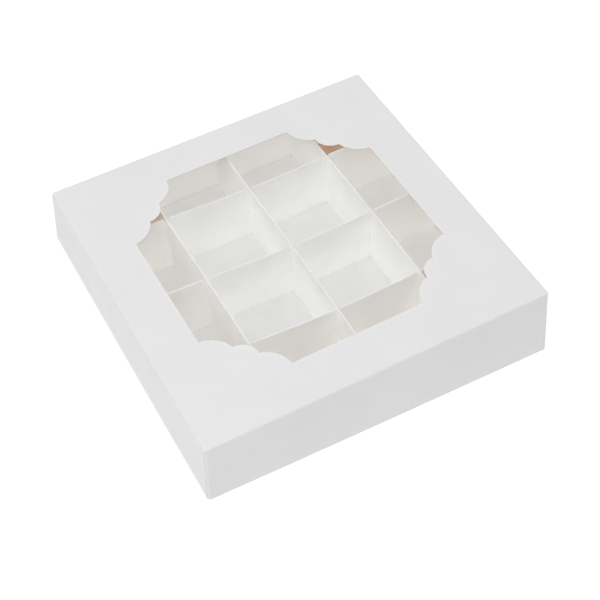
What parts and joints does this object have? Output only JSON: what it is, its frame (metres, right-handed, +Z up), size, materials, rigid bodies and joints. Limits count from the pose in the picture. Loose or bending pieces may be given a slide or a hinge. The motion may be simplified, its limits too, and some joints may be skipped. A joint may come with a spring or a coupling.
{
  "type": "window lid presentation box",
  "caption": "Shallow square board box with a telescoping lid, a scalloped window and a lattice of slotted divider strips.",
  "frame": {"origin": "centre of the footprint, on the surface the box stands on", "axes": "+X right along the front, +Y from front to back, +Z up out of the lid"},
  "size_m": [0.177, 0.177, 0.038],
  "materials": {
    "lid_board": "matt white face, brown reverse",
    "base_board": "matt white outside, brown inside",
    "pad_card": "matt white",
    "divider_board": "matt white",
    "clear_film": "clear gloss"
  },
  "bodies": {
    "base": {"base_wall_front": "base_board", "base_ply_front": "base_board", "base_wall_back": "base_board", "base_ply_back": "base_board", "base_wall_left": "base_board", "base_ply_left": "base_board", "base_wall_right": "base_board", "base_ply_right": "base_board", "base_tab_left_front": "base_board", "base_tab_left_back": "base_board", "base_tab_right_front": "base_board", "base_tab_right_back": "base_board", "base_floor_panel": "base_board"},
    "floor_pad": {"floor_pad": "pad_card"},
    "lower_dividers": {"lower_divider_front": "divider_board", "lower_divider_middle": "divider_board", "lower_divider_back": "divider_board"},
    "upper_dividers": {"upper_divider_left": "divider_board", "upper_divider_middle": "divider_board", "upper_divider_right": "divider_board"},
    "lid": {"lid_top_panel": "lid_board", "window_film": "clear_film", "lid_wall_front": "lid_board", "lid_ply_front": "lid_board", "lid_wall_back": "lid_board", "lid_ply_back": "lid_board", "lid_wall_left": "lid_board", "lid_ply_left": "lid_board", "lid_wall_right": "lid_board", "lid_ply_right": "lid_board", "lid_tab_left_front": "lid_board", "lid_tab_left_back": "lid_board", "lid_tab_right_front": "lid_board", "lid_tab_right_back": "lid_board"}
  },
  "joints": [
    {"name": "floor_pad_lift", "type": "slide", "parent": "base", "child": "floor_pad", "axis": [0, 0, 1], "range_m": [0, 0.04]},
    {"name": "lower_dividers_lift", "type": "slide", "parent": "floor_pad", "child": "lower_dividers", "axis": [0, 0, 1], "range_m": [0, 0.04]},
    {"name": "upper_dividers_lift", "type": "slide", "parent": "lower_dividers", "child": "upper_dividers", "axis": [0, 0, 1], "range_m": [0, 0.04]},
    {"name": "lid_lift", "type": "slide", "parent": "upper_dividers", "child": "lid", "axis": [0, 0, 1], "range_m": [0, 0.06]}
  ]
}
